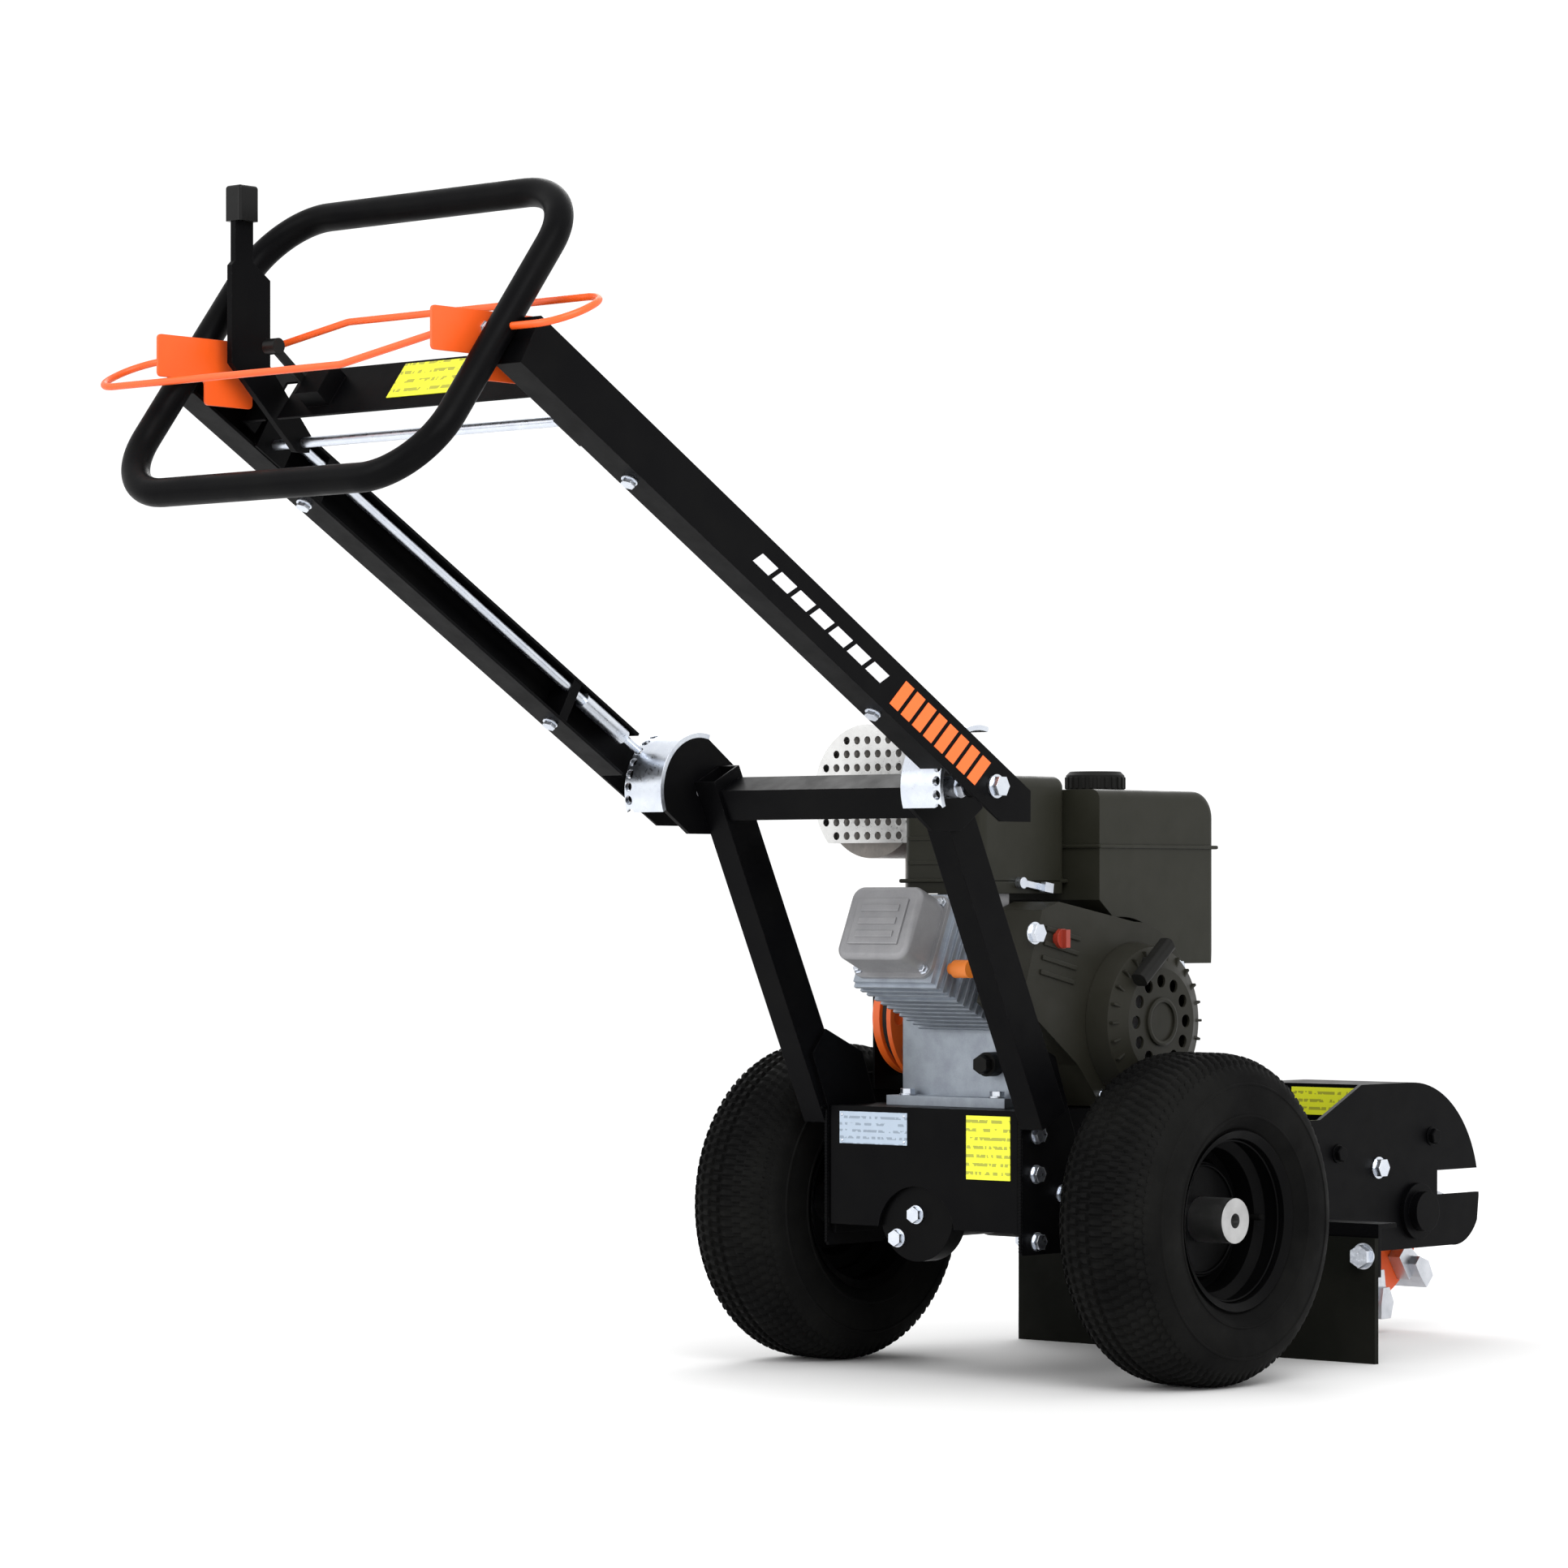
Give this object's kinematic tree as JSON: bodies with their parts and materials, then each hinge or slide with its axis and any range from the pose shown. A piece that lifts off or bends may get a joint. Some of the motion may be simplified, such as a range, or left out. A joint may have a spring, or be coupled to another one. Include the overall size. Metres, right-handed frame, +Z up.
{
  "type": "stump grinder",
  "caption": "Walk-behind stump grinder: engine on a two-wheeled deck, belt-driven cutter disc in a front guard, adjustable handle with lock lever, loop grip and bail.",
  "frame": {"origin": "on the ground, under the middle of the machine's bounding box", "axes": "+X forwards, towards the cutter; +Y to the machine's left; +Z up"},
  "size_m": [2.2031, 0.746, 1.3891],
  "materials": {
    "tyre_rubber": "matte",
    "rim_paint": "satin",
    "hub_steel": "satin",
    "frame_paint": "satin",
    "zinc": "satin",
    "bare_steel": "satin",
    "carbide": "matte",
    "flap_rubber": "matte",
    "belt_rubber": "matte",
    "orange_paint": "satin",
    "clutch_paint": "satin",
    "engine_alloy": "matte",
    "cover_alloy": "matte",
    "shroud_paint": "satin",
    "tank_paint": "satin",
    "black_plastic": "matte",
    "muffler_steel": "matte",
    "shield_steel": "satin",
    "boot_rubber": "matte",
    "switch_red": "satin",
    "knob_plastic": "gloss"
  },
  "bodies": {
    "chassis": {"deck_frame": "frame_paint", "foot_brackets": "frame_paint", "left_upright": "frame_paint", "right_upright": "frame_paint", "crossbar": "frame_paint", "pivot_plates": "frame_paint", "lock_quadrants": "zinc", "pivot_bolts": "zinc", "cutter_guard": "frame_paint", "flap_bar": "frame_paint", "chip_flap": "flap_rubber", "differential_housing": "rim_paint", "axle_bearings": "bare_steel", "belt_guard": "frame_paint", "drive_belt": "belt_rubber", "frame_bolts": "zinc", "cutter_bearings": "frame_paint", "engine_block": "engine_alloy", "valve_cover": "cover_alloy", "blower_housing": "shroud_paint", "recoil_cover": "shroud_paint", "fuel_tank": "tank_paint", "air_cleaner": "tank_paint", "muffler": "muffler_steel", "muffler_guard": "shield_steel", "carburettor": "cover_alloy", "spark_plug": "boot_rubber", "oil_cap": "black_plastic"},
    "recoil_grip": {"recoil_grip": "black_plastic"},
    "fuel_cap": {"fuel_cap": "black_plastic"},
    "engine_switch": {"engine_switch": "switch_red"},
    "choke_lever": {"choke_lever": "zinc"},
    "crank": {"crankshaft": "bare_steel", "clutch_drum": "clutch_paint", "flywheel": "cover_alloy"},
    "cutter": {"cutter_shaft": "bare_steel", "cutter_disc": "orange_paint", "cutter_teeth": "carbide", "cutter_pulley": "bare_steel"},
    "left_wheel": {"left_tyre": "tyre_rubber", "left_rim": "rim_paint", "left_half_shaft": "hub_steel"},
    "right_wheel": {"right_tyre": "tyre_rubber", "right_rim": "rim_paint", "right_half_shaft": "hub_steel"},
    "handle": {"left_arm": "frame_paint", "right_arm": "frame_paint", "loop_handle": "frame_paint", "handle_panel": "frame_paint", "shaft_bearings": "frame_paint", "rod_guides": "frame_paint", "arm_bolts": "zinc"},
    "lock_lever": {"lock_lever": "frame_paint", "lock_shaft": "zinc", "lock_knob": "knob_plastic"},
    "left_rod": {"left_lock_rod": "zinc"},
    "right_rod": {"right_lock_rod": "zinc"},
    "bail": {"bail_wire": "orange_paint", "bail_rockers": "orange_paint"},
    "throttle": {"throttle_lever": "knob_plastic"}
  },
  "joints": [
    {"name": "left_wheel_spin", "type": "hinge", "parent": "chassis", "child": "left_wheel", "pos_m": [0.18, 0.296, 0.203], "axis": [0, 1, 0], "continuous": true},
    {"name": "right_wheel_spin", "type": "hinge", "parent": "chassis", "child": "right_wheel", "pos_m": [0.18, -0.296, 0.203], "axis": [0, 1, 0], "continuous": true},
    {"name": "cutter_spin", "type": "hinge", "parent": "chassis", "child": "cutter", "pos_m": [0.946, 0, 0.17], "axis": [0, 1, 0], "continuous": true},
    {"name": "crank_spin", "type": "hinge", "parent": "chassis", "child": "crank", "pos_m": [0.22, 0, 0.441], "axis": [0, 1, 0], "continuous": true},
    {"name": "handle_height", "type": "hinge", "parent": "chassis", "child": "handle", "pos_m": [-0.181, 0, 0.724], "axis": [0, 1, 0], "range_deg": [-39, 13]},
    {"name": "lock_lever_turn", "type": "hinge", "parent": "handle", "child": "lock_lever", "pos_m": [-0.85, 0, 1.108], "axis": [0, 1, 0], "range_deg": [-15, 0], "stiffness_Nm_per_rad": 6, "springref_deg": 22.92},
    {"name": "left_rod_slide", "type": "slide", "parent": "handle", "child": "left_rod", "axis": [-0.8599, 0, 0.5105], "range_m": [0, 0.0075]},
    {"name": "right_rod_slide", "type": "slide", "parent": "handle", "child": "right_rod", "axis": [-0.8599, 0, 0.5105], "range_m": [0, 0.0075]},
    {"name": "bail_squeeze", "type": "hinge", "parent": "handle", "child": "bail", "pos_m": [-0.965, 0, 1.1985], "axis": [0, 1, 0], "range_deg": [-14, 0], "stiffness_Nm_per_rad": 2, "springref_deg": 22.92},
    {"name": "throttle_turn", "type": "hinge", "parent": "handle", "child": "throttle", "pos_m": [-0.8851, 0.143, 1.1665], "axis": [0, 1, 0], "range_deg": [-25, 15]},
    {"name": "choke_turn", "type": "hinge", "parent": "chassis", "child": "choke_lever", "pos_m": [0.076, -0.106, 0.612], "axis": [0, 1, 0], "range_deg": [-20, 8]},
    {"name": "switch_turn", "type": "hinge", "parent": "chassis", "child": "engine_switch", "pos_m": [0.07, -0.178, 0.544], "axis": [0, 1, 0], "range_deg": [0, 45]},
    {"name": "fuel_cap_turn", "type": "hinge", "parent": "chassis", "child": "fuel_cap", "pos_m": [0.295, -0.05, 0.74], "axis": [0, 0, 1], "range_deg": [0, 120]},
    {"name": "recoil_pull", "type": "slide", "parent": "chassis", "child": "recoil_grip", "axis": [0, -1, 0], "range_m": [0, 0.4]}
  ],
  "couplings": [
    {"joint": "crank_spin", "follows": "cutter_spin", "ratio": 1.4},
    {"joint": "left_rod_slide", "follows": "lock_lever_turn", "m_per_rad": -0.0268},
    {"joint": "right_rod_slide", "follows": "lock_lever_turn", "m_per_rad": -0.0268}
  ]
}
